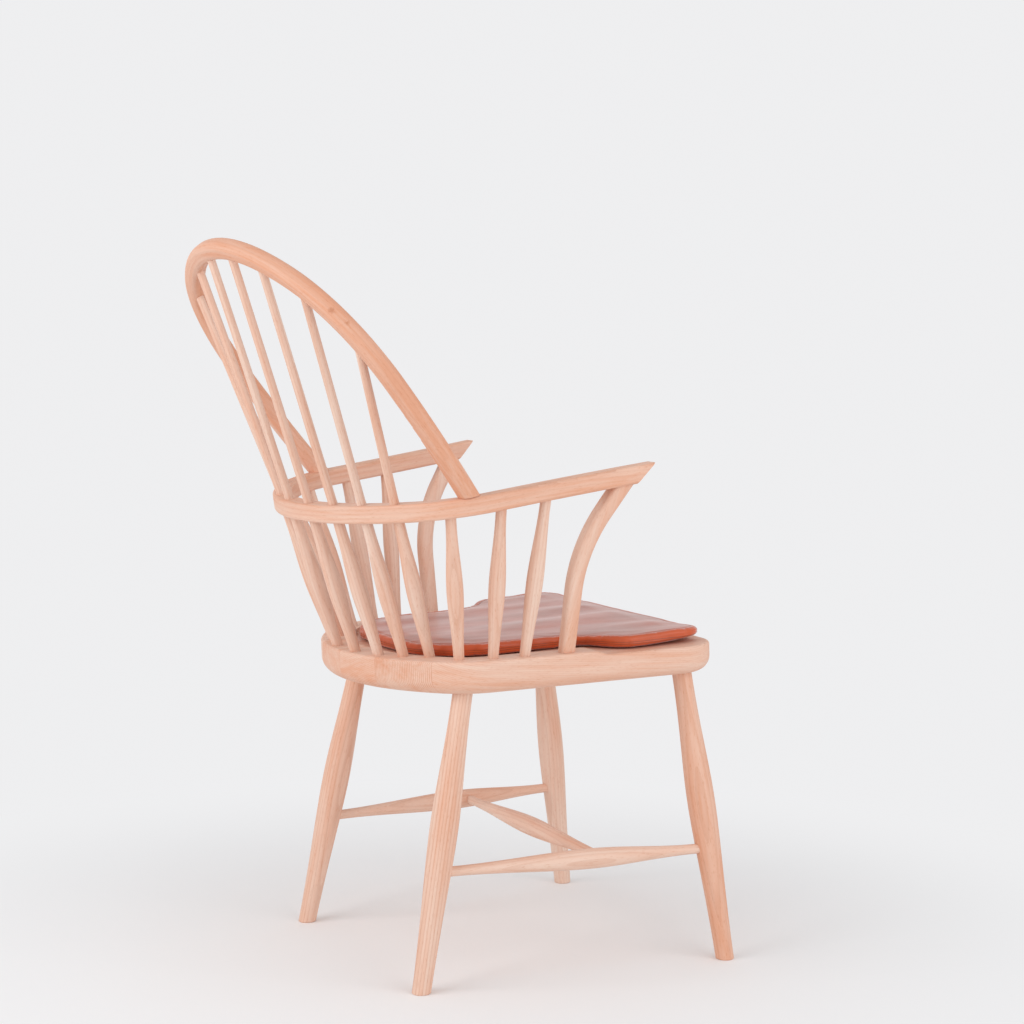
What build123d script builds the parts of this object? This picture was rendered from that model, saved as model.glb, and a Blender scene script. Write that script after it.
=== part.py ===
"""Windsor armchair: turned legs and spindles, bent arm bow and hoop, shaped seat, loose leather pad."""
import os
from math import atan2, cos, degrees, radians, sin

from build123d import *

os.makedirs("parts", exist_ok=True)

# Millimetres and degrees. +Z is up, the chair faces -Y and stands on z = 0.
# Right and left are the sitter's: right is -X, left is +X.

# Glued joints: every round tenon fits a mortise of its own radius plus a thin glue line
glue_gap = 0.15
mortise_end_gap = 0.5
outside = 40.0

# Seat, measured from the middle of its back edge along its own tilted plane
seat_back_y = 160.5
seat_back_height = 403.0
seat_tilt = 2.1
seat_depth = 490.0
seat_thickness = 46.5
seat_front_width = 542.0
seat_front_bow = 9.0
seat_front_corner = 60.0
seat_back_width = 456.0
seat_back_bow = 103.5
seat_back_corner = 110.0
seat_lower_round = 21.0
seat_upper_round = 4.0
rim_width = 44.0
rim_rise = 5.5
rim_end = 284.0
rim_end_ramp = 26.0

# Legs: sockets measured from the seat's edges, feet splayed out from the sockets
leg_inset = 48.0
front_leg_setback = 51.0
back_leg_setback = 111.5
front_leg_splay = (32.0, -57.1)
back_leg_splay = (30.0, 78.0)
leg_foot_radius = 13.0
leg_shin_radius = 17.6
leg_belly_radius = 19.7
leg_shoulder_radius = 16.9
leg_neck_radius = 14.0
leg_tenon = 22.0
leg_foot_chamfer = 1.2
leg_shin = 0.36
leg_belly = 0.58
leg_shoulder = 0.745

# Stretchers: an H of two side stretchers and one cross stretcher
stretcher_height = 162.0
stretcher_end_radius = 7.0
stretcher_belly_radius = 14.0
stretcher_tenon = 15.0
stretcher_joint = 0.6
cross_end_radius = 6.5
cross_belly_radius = 14.0
stretcher_neck = 22.0

# Arm bow, in a plane that rises towards the front, placed from the seat's back edge and rim
arm_from_back = 127.5
arm_above_rim = 223.0
arm_tilt = 8.45
arm_half_width = 272.0
arm_rise = 174.0
arm_corner = 126.0
arm_reach = 252.0
arm_flare = 18.0
arm_tail = 1.0
arm_width = 27.0
arm_depth = 25.0
arm_edge_round = 4.0
arm_end_slope = 48.0

# Arm stumps, bent forwards and leaning outwards between the seat rim and the arm ends.
# The section, as (thickness along the bend, width across it), grows from the foot to the top.
stump_from_back = 251.5
stump_inset = 20.0
stump_lean = 12.6
stump_straight = 88.0
stump_bend_radius = 215.0
stump_bend_angle = 32.0
stump_foot_section = (20.0, 22.0)
stump_top_section = (23.5, 24.5)
stump_edge_round = 7.0
stump_tenon_radius = 8.0
stump_tenon = 18.0
stump_top_tenon_radius = 6.0
stump_top_tenon = 13.0

# Hoop, in a plane that leans back from the arm bow, a little wider than the bow
hoop_share = 0.523
hoop_tilt = 37.5
hoop_overhang = 15.7
hoop_leg = 190.0
hoop_rise = 226.9
hoop_corner = 202.5
hoop_width = 28.0
hoop_depth = 25.0
hoop_edge_round = 10.0
hoop_tail = 34.0
hoop_tenon_radius = 8.0
hoop_tenon = 15.0

# Long spindles, from the seat rim through the arm bow to the hoop.
# Shares of half a bow's length, from its middle, say where the spindles cross the bows.
# They taper through the arm bow, in tapered holes.
long_spindle_arm_shares = (0.060, 0.163, 0.258, 0.350)
long_spindle_hoop_shares = (0.068, 0.202, 0.352, 0.517)
spindle_foot_radius = 7.5
spindle_belly_radius = 11.6
spindle_below_arm_radius = 7.7
spindle_above_arm_radius = 6.3
spindle_top_radius = 5.7
spindle_tenon = 16.0
spindle_hoop_overrun = 3.0
spindle_belly = 0.45
spindle_collar = 9.0

# Short spindles, from the seat rim to the underside of the arm bow
short_spindle_from_back = (104.0, 147.0, 190.0)
short_spindle_inset = (40.0, 26.0, 20.0)
short_spindle_arm_shares = (0.478, 0.597, 0.709)
short_spindle_top_radius = 7.4
short_spindle_top_tenon = 13.0
short_spindle_belly = 0.5

# Loose seat pad: leather top and bottom panels sewn round a thin filling.
# Its back keeps ahead of the first long spindle's foot and inside the rim,
# its waist runs out past the last long spindle's foot.
pad_front_setback = 17.0
pad_ahead_of_spindles = 48.6
pad_inside_rim = 19.5
pad_back_bow = 26.0
pad_past_spindles = 31.5
pad_ear_width = 476.0
pad_waist_from_back = 262.0
pad_ear_from_back = 356.0
pad_front_corner = 42.0
pad_back_corner = 110.0
pad_waist_round = 60.0
pad_ear_round = 60.0
pad_draw_in = 5.0
pad_edge_height = 17.0
pad_crown_height = 3.0
pad_crown_inset = 38.0
pad_seam_height = 9.0
pad_leather = 1.6
pad_gap = 0.3


def axis_plane(start, end):
    """Plane through a turned piece's axis: x is the radius and y runs from start to end."""
    along = (end - start).normalized()
    world = (Vector(1, 0, 0), Vector(0, 1, 0), Vector(0, 0, 1))
    helper = min(world, key=lambda direction: abs(along.dot(direction)))
    across = along.cross(helper).normalized()
    return Plane(origin=start, x_dir=across, z_dir=across.cross(along))


def turn(start, end, lower, belly, upper):
    """Turned piece from start to end: a plain lower end, a swelling belly and straight upper stretches.

    lower is (length, radius), belly and upper are lists of (distance from start, radius).
    """
    length = (end - start).length
    lower_length, lower_radius = lower
    belly_points = [(radius, distance) for distance, radius in belly]
    upper_points = [(radius, distance) for distance, radius in upper]
    with BuildSketch(axis_plane(start, end)) as half_profile:
        with BuildLine():
            Polyline((0, 0), (lower_radius, 0), (lower_radius, lower_length))
            Spline((lower_radius, lower_length), *belly_points, tangents=((0, 1), (0, 1)))
            Polyline(belly_points[-1], *upper_points, (0, length), (0, 0))
        make_face()
    revolve(half_profile.sketch, axis=Axis(start, end - start))


def peg(start, end, radius, mode=Mode.ADD):
    """Round tenon from start to end, or a mortise when subtracted."""
    with Locations(Plane(origin=start, z_dir=end - start)):
        Cylinder(radius, (end - start).length, align=(Align.CENTER, Align.CENTER, Align.MIN), mode=mode)


def mortise(mouth, bottom, radius):
    """Mortise for a tenon of this radius that runs in at the mouth and ends at the bottom."""
    along = (bottom - mouth).normalized()
    peg(mouth - along * outside, bottom + along * mortise_end_gap, radius + glue_gap, Mode.SUBTRACT)


def tapered_hole(start, end, start_radius, end_radius):
    """Hole for a round piece that tapers from one radius at the start to another at the end."""
    with Locations(Plane(origin=start, z_dir=end - start)):
        Cone(start_radius + glue_gap, end_radius + glue_gap, (end - start).length,
             align=(Align.CENTER, Align.CENTER, Align.MIN), mode=Mode.SUBTRACT)


def bow_path(plane, half_width, rise, corner, leg, foot_half_width, tail):
    """Three-centred arch on two gently curved legs, each of which runs on in a straight tail."""
    reach = half_width - corner
    crown = (half_width**2 + rise**2 - 2 * half_width * corner) / (2 * (rise - corner))
    turned = degrees(atan2(crown - rise, reach))
    lean = 2 * atan2(foot_half_width - half_width, leg)
    tail_x = foot_half_width + tail * sin(lean)
    tail_y = -leg - tail * cos(lean)
    down = plane.y_dir * -1
    with BuildLine(plane) as path:
        Line((-tail_x, tail_y), (-foot_half_width, -leg))
        TangentArc((-half_width, 0), (-foot_half_width, -leg), tangent=down)
        CenterArc((-reach, 0), corner, 180, -turned)
        CenterArc((0, rise - crown), crown, 180 - turned, 2 * turned - 180)
        CenterArc((reach, 0), corner, turned, -turned)
        TangentArc((half_width, 0), (foot_half_width, -leg), tangent=down)
        Line((foot_half_width, -leg), (tail_x, tail_y))
    return path.wire()


def bend(path, normal, first, last, edge_round):
    """Bent piece along a flat path. Its first and last sections are (size in the plane, size across it)."""
    ends = []
    for share, (thickness, width) in ((0, first), (1, last)):
        with BuildSketch(Plane(origin=path @ share, x_dir=normal, z_dir=path % share)) as section:
            RectangleRounded(width, thickness, edge_round)
        ends.append(section.sketch)
    if first == last:
        sweep(ends[0], path=path)
    else:
        sweep(ends, path=path, multisection=True)


def keep(name, piece):
    """Label a finished piece and write its file."""
    piece.label = name
    export_step(piece, f"parts/{name}.step")


def where(line_start, line_end, plane):
    """Point where a line crosses a plane."""
    normal = plane.z_dir
    share = normal.dot(plane.origin - line_start) / normal.dot(line_end - line_start)
    return line_start + (line_end - line_start) * share


# Reference planes and lines that the pieces share
seat_plane = Plane(
    origin=(0, seat_back_y, seat_back_height),
    x_dir=(1, 0, 0),
    z_dir=(0, sin(radians(seat_tilt)), cos(radians(seat_tilt))),
)
rim_plane = seat_plane.offset(seat_thickness)
sitting_height = seat_thickness - rim_rise
arm_plane = Plane(
    origin=rim_plane.from_local_coords(Vector(0, -arm_from_back, arm_above_rim)),
    x_dir=(1, 0, 0),
    z_dir=(0, sin(radians(arm_tilt)), cos(radians(arm_tilt))),
)
arm_top = arm_plane.offset(arm_depth / 2)
arm_underside = arm_plane.offset(-arm_depth / 2)
arm_foot = arm_half_width + arm_flare
arm_path = bow_path(arm_plane, arm_half_width, arm_rise, arm_corner, arm_reach, arm_foot, arm_tail)


def seat_half_width(from_back):
    """Half the seat's width on its straight sides, before the corners are rounded."""
    share = (from_back - seat_back_bow) / (seat_depth - seat_front_bow - seat_back_bow)
    return (seat_back_width + (seat_front_width - seat_back_width) * share) / 2


def seat_point(side, inset, from_back, height):
    """Point over the seat: side is -1 or 1, inset runs in from the side edge, height from the underside."""
    place = Vector(side * (seat_half_width(from_back) - inset), -from_back, height)
    return seat_plane.from_local_coords(place)


def on_bow(path, side, share):
    """Point on a bow's centre line, a share of half its length away from the middle."""
    return path @ (0.5 + side * share / 2)


hoop_foot = on_bow(arm_path, 1, hoop_share) + arm_plane.z_dir * (arm_depth / 2)
hoop_up = Vector(0, sin(radians(hoop_tilt)), cos(radians(hoop_tilt)))
hoop_plane = Plane(
    origin=Vector(0, hoop_foot.Y, hoop_foot.Z) + hoop_up * hoop_leg,
    x_dir=(1, 0, 0),
    z_dir=Vector(1, 0, 0).cross(hoop_up),
)
hoop_half_width = arm_half_width + hoop_overhang
hoop_path = bow_path(hoop_plane, hoop_half_width, hoop_rise, hoop_corner, hoop_leg, hoop_foot.X, hoop_tail)

sides = {"right": -1, "left": 1}


def leg_ends(side, setback, splay):
    """Foot on the floor and socket on the seat's underside of one leg."""
    socket = seat_point(side, leg_inset, setback, 0)
    return Vector(socket.X + side * splay[0], socket.Y + splay[1], 0), socket


legs = {}
for hand, side in sides.items():
    legs[f"leg_front_{hand}"] = leg_ends(side, seat_depth - front_leg_setback, front_leg_splay)
    legs[f"leg_back_{hand}"] = leg_ends(side, back_leg_setback, back_leg_splay)


def leg_at(name, height):
    """Point on a leg's axis at a height above the floor."""
    foot, socket = legs[name]
    return foot + (socket - foot) * (height / socket.Z)


side_stretchers = {}
for hand in sides:
    back_end = leg_at(f"leg_back_{hand}", stretcher_height)
    front_end = leg_at(f"leg_front_{hand}", stretcher_height)
    side_stretchers[hand] = (back_end, front_end)


def stretcher_middle(hand):
    """Where the cross stretcher's axis meets a side stretcher's axis."""
    back_end, front_end = side_stretchers[hand]
    return back_end + (front_end - back_end) * stretcher_joint


def spindle_line(side, number):
    """Foot on the rim, crossing of the arm bow and top in the hoop of one long spindle."""
    crossing = on_bow(arm_path, side, long_spindle_arm_shares[number])
    top = on_bow(hoop_path, side, long_spindle_hoop_shares[number])
    return where(top, crossing, rim_plane), crossing, top


def short_spindle_line(side, number):
    """Foot on the rim and top in the arm bow's underside of one short spindle."""
    foot = seat_point(side, short_spindle_inset[number], short_spindle_from_back[number], seat_thickness)
    top = on_bow(arm_path, side, short_spindle_arm_shares[number])
    return foot, where(foot, top, arm_underside)


# How far the long spindles' taper through the arm bow runs to each side of the bow's centre line
arm_collar = arm_depth / 2 + spindle_collar
long_spindles = {}
short_spindles = {}
for hand, side in sides.items():
    for number in range(len(long_spindle_arm_shares)):
        long_spindles[f"long_spindle_{hand}_{number + 1}"] = spindle_line(side, number)
    for number in range(len(short_spindle_arm_shares)):
        short_spindles[f"short_spindle_{hand}_{number + 1}"] = short_spindle_line(side, number)


def stump_plane(side):
    """Plane of one stump's bend: x runs forwards and y up along its outward lean."""
    lean = radians(stump_lean)
    up = Vector(side * sin(lean), 0, cos(lean))
    forward = Vector(0, -1, 0)
    return Plane(origin=seat_point(side, stump_inset, stump_from_back, seat_thickness), x_dir=forward,
                 z_dir=forward.cross(up))


def stump_top(side, ahead):
    """Point on the arm bow's underside met by a line that runs ahead of a stump's upper axis."""
    angle = radians(stump_bend_angle)
    forward = stump_bend_radius * (1 - cos(angle)) + ahead * cos(angle)
    up = stump_straight + stump_bend_radius * sin(angle) - ahead * sin(angle)
    plane = stump_plane(side)
    bend_end = plane.from_local_coords(Vector(forward, up, 0))
    return where(bend_end, bend_end + plane.x_dir * sin(angle) + plane.y_dir * cos(angle), arm_underside)


# Seat: a tilted slab with a raised rim that carries the spindles and fades out in front of the stumps
seat_section = Plane(
    origin=seat_plane.origin,
    x_dir=seat_plane.y_dir * -1,
    z_dir=seat_plane.z_dir.cross(seat_plane.y_dir),
)


def on_outer_edge(edge):
    """Whether an edge runs along the seat's outline, above the sitting height."""
    place = seat_plane.to_local_coords(edge @ 0.5)
    gap = seat_outline.sketch_local.wire().distance_to(Vertex(place.X, place.Y, 0))
    return gap < glue_gap and place.Z > sitting_height - glue_gap


with BuildPart() as seat:
    with BuildSketch(seat_plane) as seat_outline:
        front_corner = (seat_front_width / 2, seat_front_bow - seat_depth)
        back_corner = (seat_back_width / 2, -seat_back_bow)
        with BuildLine():
            ThreePointArc((-front_corner[0], front_corner[1]), (0, -seat_depth), front_corner)
            Line(front_corner, back_corner)
            ThreePointArc(back_corner, (0, 0), (-back_corner[0], back_corner[1]))
            Line((-back_corner[0], back_corner[1]), (-front_corner[0], front_corner[1]))
        make_face()
        fillet(vertices().group_by(Axis.Y)[0], seat_front_corner)
        fillet(vertices().group_by(Axis.Y)[-1], seat_back_corner)
    extrude(amount=seat_thickness)
    fillet(faces().sort_by(Axis(seat_plane.origin, seat_plane.z_dir))[0].edges(), seat_lower_round)
    with BuildSketch(seat_section.offset(-seat_front_width)):
        ramp_foot = (rim_end + rim_end_ramp, sitting_height)
        ramp_middle = rim_end + rim_end_ramp / 2
        beyond = seat_depth + outside
        above = seat_thickness + outside
        ramp_top = (rim_end, seat_thickness)
        with BuildLine():
            Bezier(ramp_top, (ramp_middle, seat_thickness), (ramp_middle, sitting_height), ramp_foot)
            Polyline(ramp_foot, (beyond, sitting_height), (beyond, above), (rim_end, above), ramp_top)
        make_face()
    extrude(amount=2 * seat_front_width, mode=Mode.SUBTRACT)
    fillet(edges().filter_by(on_outer_edge), seat_upper_round)
    with BuildSketch(seat_plane.offset(sitting_height)):
        add(seat_outline.sketch_local)
        offset(amount=-rim_width, mode=Mode.REPLACE)
    extrude(amount=outside, mode=Mode.SUBTRACT)
    for foot, socket in legs.values():
        along = (socket - foot).normalized()
        mortise(socket, socket + along * leg_tenon, leg_neck_radius)
    for foot, crossing, top in long_spindles.values():
        along = (crossing - foot).normalized()
        mortise(foot, foot - along * spindle_tenon, spindle_foot_radius)
    for foot, top in short_spindles.values():
        along = (top - foot).normalized()
        mortise(foot, foot - along * spindle_tenon, spindle_foot_radius)
    for side in sides.values():
        plane = stump_plane(side)
        mortise(plane.origin, plane.origin - plane.y_dir * stump_tenon, stump_tenon_radius)
keep("seat", seat.part)


def make_leg(name, foot, socket):
    """Turned leg, cut level at the floor, with mortises for the stretcher on its inner side."""
    along = (socket - foot).normalized()
    visible = (socket - foot).length
    start = foot - along * leg_foot_radius
    top = socket + along * leg_tenon
    with BuildPart() as leg:
        with BuildSketch(axis_plane(start, top)) as half_profile:
            length = (top - start).length
            below = leg_foot_radius
            with BuildLine():
                Line((0, 0), (leg_foot_radius, 0))
                Spline(
                    (leg_foot_radius, 0),
                    (leg_shin_radius, below + visible * leg_shin),
                    (leg_belly_radius, below + visible * leg_belly),
                    (leg_shoulder_radius, below + visible * leg_shoulder),
                    (leg_neck_radius, below + visible - leg_neck_radius),
                    tangents=((0, 1), (0, 1)),
                )
                Polyline(
                    (leg_neck_radius, below + visible - leg_neck_radius),
                    (leg_neck_radius, length),
                    (0, length),
                    (0, 0),
                )
            make_face()
        revolve(axis=Axis(start, along))
        split(bisect_by=Plane.XY, keep=Keep.TOP)
        chamfer(faces().sort_by(Axis.Z)[0].edges(), leg_foot_chamfer)
        for back_end, front_end in side_stretchers.values():
            for end, far_end in ((back_end, front_end), (front_end, back_end)):
                if (end - leg_at(name, stretcher_height)).length < glue_gap:
                    inward = (far_end - end).normalized()
                    mortise(end + inward * stretcher_tenon, end, stretcher_end_radius)
    keep(name, leg.part)


for name, (foot, socket) in legs.items():
    make_leg(name, foot, socket)


def make_side_stretcher(hand):
    """Turned side stretcher, thickest where the cross stretcher enters it."""
    start, end = side_stretchers[hand]
    length = (end - start).length
    with BuildPart() as stretcher:
        turn(
            start,
            end,
            (stretcher_neck, stretcher_end_radius),
            [
                (length * stretcher_joint, stretcher_belly_radius),
                (length - stretcher_neck, stretcher_end_radius),
            ],
            [(length, stretcher_end_radius)],
        )
        middle = stretcher_middle(hand)
        inward = Vector(-middle.X, 0, 0).normalized()
        mortise(middle + inward * stretcher_belly_radius, middle, cross_end_radius)
    keep(f"side_stretcher_{hand}", stretcher.part)


for hand in sides:
    make_side_stretcher(hand)

with BuildPart() as cross_stretcher:
    cross_start = stretcher_middle("right")
    cross_end = stretcher_middle("left")
    cross_length = (cross_end - cross_start).length
    turn(
        cross_start,
        cross_end,
        (stretcher_neck, cross_end_radius),
        [(cross_length / 2, cross_belly_radius), (cross_length - stretcher_neck, cross_end_radius)],
        [(cross_length, cross_end_radius)],
    )
keep("cross_stretcher", cross_stretcher.part)

# Arm bow: one bent length whose ends are cut in line with the front of the stumps
with BuildPart() as arm_bow:
    bend(arm_path, arm_plane.z_dir, (arm_width, arm_depth), (arm_width, arm_depth), arm_edge_round)
    slope = radians(arm_end_slope)
    end_cut = Plane(origin=stump_top(1, stump_top_section[0] / 2), z_dir=(0, sin(slope), cos(slope)))
    split(bisect_by=end_cut, keep=Keep.TOP)
    for foot, crossing, top in long_spindles.values():
        along = (top - foot).normalized()
        tapered_hole(crossing - along * arm_collar, crossing + along * arm_collar,
                     spindle_below_arm_radius, spindle_above_arm_radius)
    for foot, top in short_spindles.values():
        along = (top - foot).normalized()
        mortise(top, top + along * short_spindle_top_tenon, short_spindle_top_radius)
    for side in sides.values():
        mouth = stump_top(side, 0)
        mortise(mouth, mouth + arm_plane.z_dir * stump_top_tenon, stump_top_tenon_radius)
    for end, inward in ((hoop_path @ 0, hoop_path % 0), (hoop_path @ 1, (hoop_path % 1) * -1)):
        foot = end + inward * hoop_tail
        mortise(foot, foot - inward * hoop_tenon, hoop_tenon_radius)
keep("arm_bow", arm_bow.part)


def make_stump(hand, side):
    """Bent stump from the seat rim to the underside of the arm bow, tenoned at both ends."""
    plane = stump_plane(side)
    top = stump_top(side, 0)
    with BuildPart() as stump:
        with BuildLine(plane) as path:
            straight = Line((0, -outside / 2), (0, stump_straight))
            curve = JernArc(straight @ 1, straight % 1, stump_bend_radius, -stump_bend_angle)
            Line(curve @ 1, top + (curve % 1) * (outside / 2))
        bend(path.wire(), plane.z_dir, stump_foot_section, stump_top_section, stump_edge_round)
        split(bisect_by=rim_plane.offset(glue_gap), keep=Keep.TOP)
        split(bisect_by=arm_underside.offset(-glue_gap), keep=Keep.BOTTOM)
        inner_end = plane.origin + plane.y_dir * stump_tenon
        peg(inner_end, plane.origin - plane.y_dir * stump_tenon, stump_tenon_radius)
        inner_end = top - arm_plane.z_dir * stump_edge_round
        peg(inner_end, top + arm_plane.z_dir * stump_top_tenon, stump_top_tenon_radius)
    keep(f"arm_stump_{hand}", stump.part)


for hand, side in sides.items():
    make_stump(hand, side)

# Hoop: one bent length that stands on the arm bow and takes the tops of the long spindles
with BuildPart() as hoop:
    bend(hoop_path, hoop_plane.z_dir, (hoop_width, hoop_depth), (hoop_width, hoop_depth), hoop_edge_round)
    split(bisect_by=arm_top.offset(glue_gap), keep=Keep.TOP)
    for end, inward in ((hoop_path @ 0, hoop_path % 0), (hoop_path @ 1, (hoop_path % 1) * -1)):
        foot = end + inward * hoop_tail
        peg(foot + inward * hoop_tenon, foot - inward * hoop_tenon, hoop_tenon_radius)
    for foot, crossing, top in long_spindles.values():
        along = (top - foot).normalized()
        mortise(top - along * outside, top + along * spindle_hoop_overrun, spindle_top_radius)
keep("hoop", hoop.part)


def make_long_spindle(name, foot, crossing, top):
    """Turned spindle: a belly below the arm bow, then a slim taper up to the hoop."""
    along = (top - foot).normalized()
    start = foot - along * spindle_tenon
    end = top + along * spindle_hoop_overrun
    span = (crossing - foot).length
    with BuildPart() as spindle:
        turn(
            start,
            end,
            (spindle_tenon, spindle_foot_radius),
            [
                (spindle_tenon + span * spindle_belly, spindle_belly_radius),
                (spindle_tenon + span - arm_collar, spindle_below_arm_radius),
            ],
            [
                (spindle_tenon + span + arm_collar, spindle_above_arm_radius),
                ((end - start).length - hoop_width, spindle_top_radius),
                ((end - start).length, spindle_top_radius),
            ],
        )
    keep(name, spindle.part)


for name, (foot, crossing, top) in long_spindles.items():
    make_long_spindle(name, foot, crossing, top)


def make_short_spindle(name, foot, top):
    """Turned spindle between the seat rim and the arm bow."""
    along = (top - foot).normalized()
    start = foot - along * spindle_tenon
    end = top + along * short_spindle_top_tenon
    span = (top - foot).length
    with BuildPart() as spindle:
        turn(
            start,
            end,
            (spindle_tenon, spindle_foot_radius),
            [
                (spindle_tenon + span * short_spindle_belly, spindle_belly_radius),
                (spindle_tenon + span - spindle_collar, short_spindle_top_radius),
            ],
            [((end - start).length, short_spindle_top_radius)],
        )
    keep(name, spindle.part)


for name, (foot, top) in short_spindles.items():
    make_short_spindle(name, foot, top)


first_foot = seat_plane.to_local_coords(long_spindles["long_spindle_left_1"][0])
last_foot = seat_plane.to_local_coords(long_spindles["long_spindle_left_4"][0])


def at_depth(from_back):
    """Corners of the outline being drawn that lie this far from the seat's back edge."""
    return vertices().filter_by(lambda corner: abs(corner.Y + from_back) < glue_gap)


def pad_section(height, inset):
    """Keyhole outline of the seat pad at a height above the sitting surface, drawn in by an inset."""
    waist = last_foot.X + pad_past_spindles
    ear = pad_ear_width / 2
    back = min(first_foot.Y - pad_ahead_of_spindles, -rim_width - pad_inside_rim)
    back_corner = back - pad_back_bow
    front = pad_front_setback - seat_depth
    with BuildSketch(seat_plane.offset(sitting_height + pad_gap + height)) as section:
        with BuildLine():
            ThreePointArc((waist, back_corner), (0, back), (-waist, back_corner))
            Polyline(
                (-waist, back_corner),
                (-waist, -pad_waist_from_back),
                (-ear, -pad_ear_from_back),
                (-ear, front),
                (ear, front),
                (ear, -pad_ear_from_back),
                (waist, -pad_waist_from_back),
                (waist, back_corner),
            )
        make_face()
        fillet(vertices().group_by(Axis.Y)[-1], pad_back_corner)
        fillet(vertices().group_by(Axis.Y)[0], pad_front_corner)
        fillet(at_depth(pad_ear_from_back), pad_ear_round)
        fillet(at_depth(pad_waist_from_back), pad_waist_round)
        if inset:
            offset(amount=-inset, mode=Mode.REPLACE)
    return section.sketch


def pad_form(skin):
    """Full form of the pad, drawn in all round by a skin: sides that lean in and a low crown."""
    sections = [
        pad_section(skin, pad_draw_in + skin),
        pad_section(pad_seam_height, skin),
        pad_section(pad_edge_height - skin, pad_draw_in + skin),
        pad_section(pad_edge_height + pad_crown_height - skin, pad_crown_inset + skin),
    ]
    return loft(sections, ruled=True, mode=Mode.PRIVATE)


# Seat pad: a leather panel above and one below its seam, closed round a filling
seam_plane = seat_plane.offset(sitting_height + pad_gap + pad_seam_height)
with BuildPart() as pad_top_panel:
    add(pad_form(0))
    add(pad_form(pad_leather), mode=Mode.SUBTRACT)
    split(bisect_by=seam_plane.offset(pad_gap / 2), keep=Keep.TOP)
keep("pad_top_panel", pad_top_panel.part)

with BuildPart() as pad_bottom_panel:
    add(pad_form(0))
    add(pad_form(pad_leather), mode=Mode.SUBTRACT)
    split(bisect_by=seam_plane.offset(-pad_gap / 2), keep=Keep.BOTTOM)
keep("pad_bottom_panel", pad_bottom_panel.part)

with BuildPart() as pad_filling:
    add(pad_form(pad_leather + pad_gap))
keep("pad_filling", pad_filling.part)
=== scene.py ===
"""Windsor armchair: wood finishes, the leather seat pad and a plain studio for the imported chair."""
from math import cos, pi, radians, sin

import bpy
import numpy as np
from mathutils import Matrix, Vector, kdtree, noise


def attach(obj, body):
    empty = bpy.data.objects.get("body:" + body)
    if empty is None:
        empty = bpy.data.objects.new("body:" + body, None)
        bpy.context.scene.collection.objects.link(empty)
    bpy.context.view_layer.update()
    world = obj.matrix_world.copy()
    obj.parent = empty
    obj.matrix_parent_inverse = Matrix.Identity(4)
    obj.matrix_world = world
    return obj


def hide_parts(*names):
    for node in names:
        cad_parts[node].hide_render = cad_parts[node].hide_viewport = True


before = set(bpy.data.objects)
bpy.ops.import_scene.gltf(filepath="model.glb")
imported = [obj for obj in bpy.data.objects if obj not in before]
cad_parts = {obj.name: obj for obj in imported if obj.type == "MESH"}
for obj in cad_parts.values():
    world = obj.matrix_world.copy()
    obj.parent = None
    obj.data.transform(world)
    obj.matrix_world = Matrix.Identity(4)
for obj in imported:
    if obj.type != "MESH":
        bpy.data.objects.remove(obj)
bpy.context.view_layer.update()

bl_info = {
    "name": "Windsor Armchair",
    "version": (1, 0, 0),
    "blender": (4, 5, 0),
    "location": "3D View > Sidebar > Windsor",
    "description": "Finishes a windsor armchair in pale wood and makes its leather seat pad",
    "category": "Object",
}

# Metres. +Z is up, the chair faces -Y and stands on z = 0; right is the sitter's, at -X.
PAD_NODES = ("pad_top_panel", "pad_bottom_panel", "pad_filling")
# Turned pieces by the start of their names: how much warmer each is, and how strong its growth lines are
TURNED_KINDS = {
    "leg_front_right": (0.34, 0.24),
    "leg_front_left": (-0.05, 0.24),
    "leg_back_right": (0.02, 0.46),
    "leg_back_left": (0.02, 0.34),
    "side_stretcher_": (-0.04, 0.26),
    "cross_stretcher": (-0.08, 0.26),
    "long_spindle_": (-0.06, 0.26),
    "short_spindle_": (0.0, 0.26),
    "arm_stump_": (0.02, 0.10),
}
# Each turned piece is cut further along the log and differs a little in warmth
LOG_STEP = 0.37
WARMTH_SWING = 0.08
WARMTH_TURN = 2.4
# Helper direction for the growth lines, along none of the turned pieces
OFF_AXIS = Vector((1, -0.5, 0.2))
# Wood: how patterns are drawn out along the grain
LINE_DRAW = (0.06, 1.0, 1.0)
FLECK_DRAW = (0.12, 1.0, 1.0)
# A wave pattern of scale 1 repeats after this length, in metres
WAVE_UNIT = pi / 10
RING_WOBBLE = {"Distortion": 1.5, "Detail": 2.0, "Detail_Scale": 0.35}
NOISE_ROUGHNESS = 0.55
# Wood: from where to where in its pattern each mark fades in
LATE_RANGE = (0.45, 1.0)
PATCH_RANGE = (0.30, 0.75)
STREAK_RANGE = (0.35, 0.70)
FLECK_RANGE = (0.60, 0.72)
# Wood: repeats per metre and strength of each mark, and the look of the surface
PATCH_SCALE = 22.0
STREAK_SCALE = 150.0
PORE_SCALE = 900.0
PATCH_WARMTH = 0.52
STREAK_WARMTH = 0.26
FLECK_STRENGTH = 0.60
FLECK_SHADE = (0.86, 0.70, 0.60, 1)
WOOD_ROUGHNESS = 0.50
FLECK_ROUGHNESS = 0.10
PATCH_ROUGHNESS = 0.08
WOOD_HEIGHT = 0.5
LATE_HEIGHT = 0.35
FLECK_HEIGHT = -0.5
WOOD_BUMP = {"Strength": 0.35, "Distance": 0.0002}
WOOD_SPECULAR = 0.32
# Bent pieces: spread and strength of their growth lines
BENT_SPREAD = 1.4
BENT_LINES = 0.15
# Pin knots: ragged edge and strength
KNOT_SCALE = 420.0
KNOT_WOBBLE = 0.006
KNOT_OUTER = 0.003
KNOT_INNER = 0.002
KNOT_STRENGTH = 0.7
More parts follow.
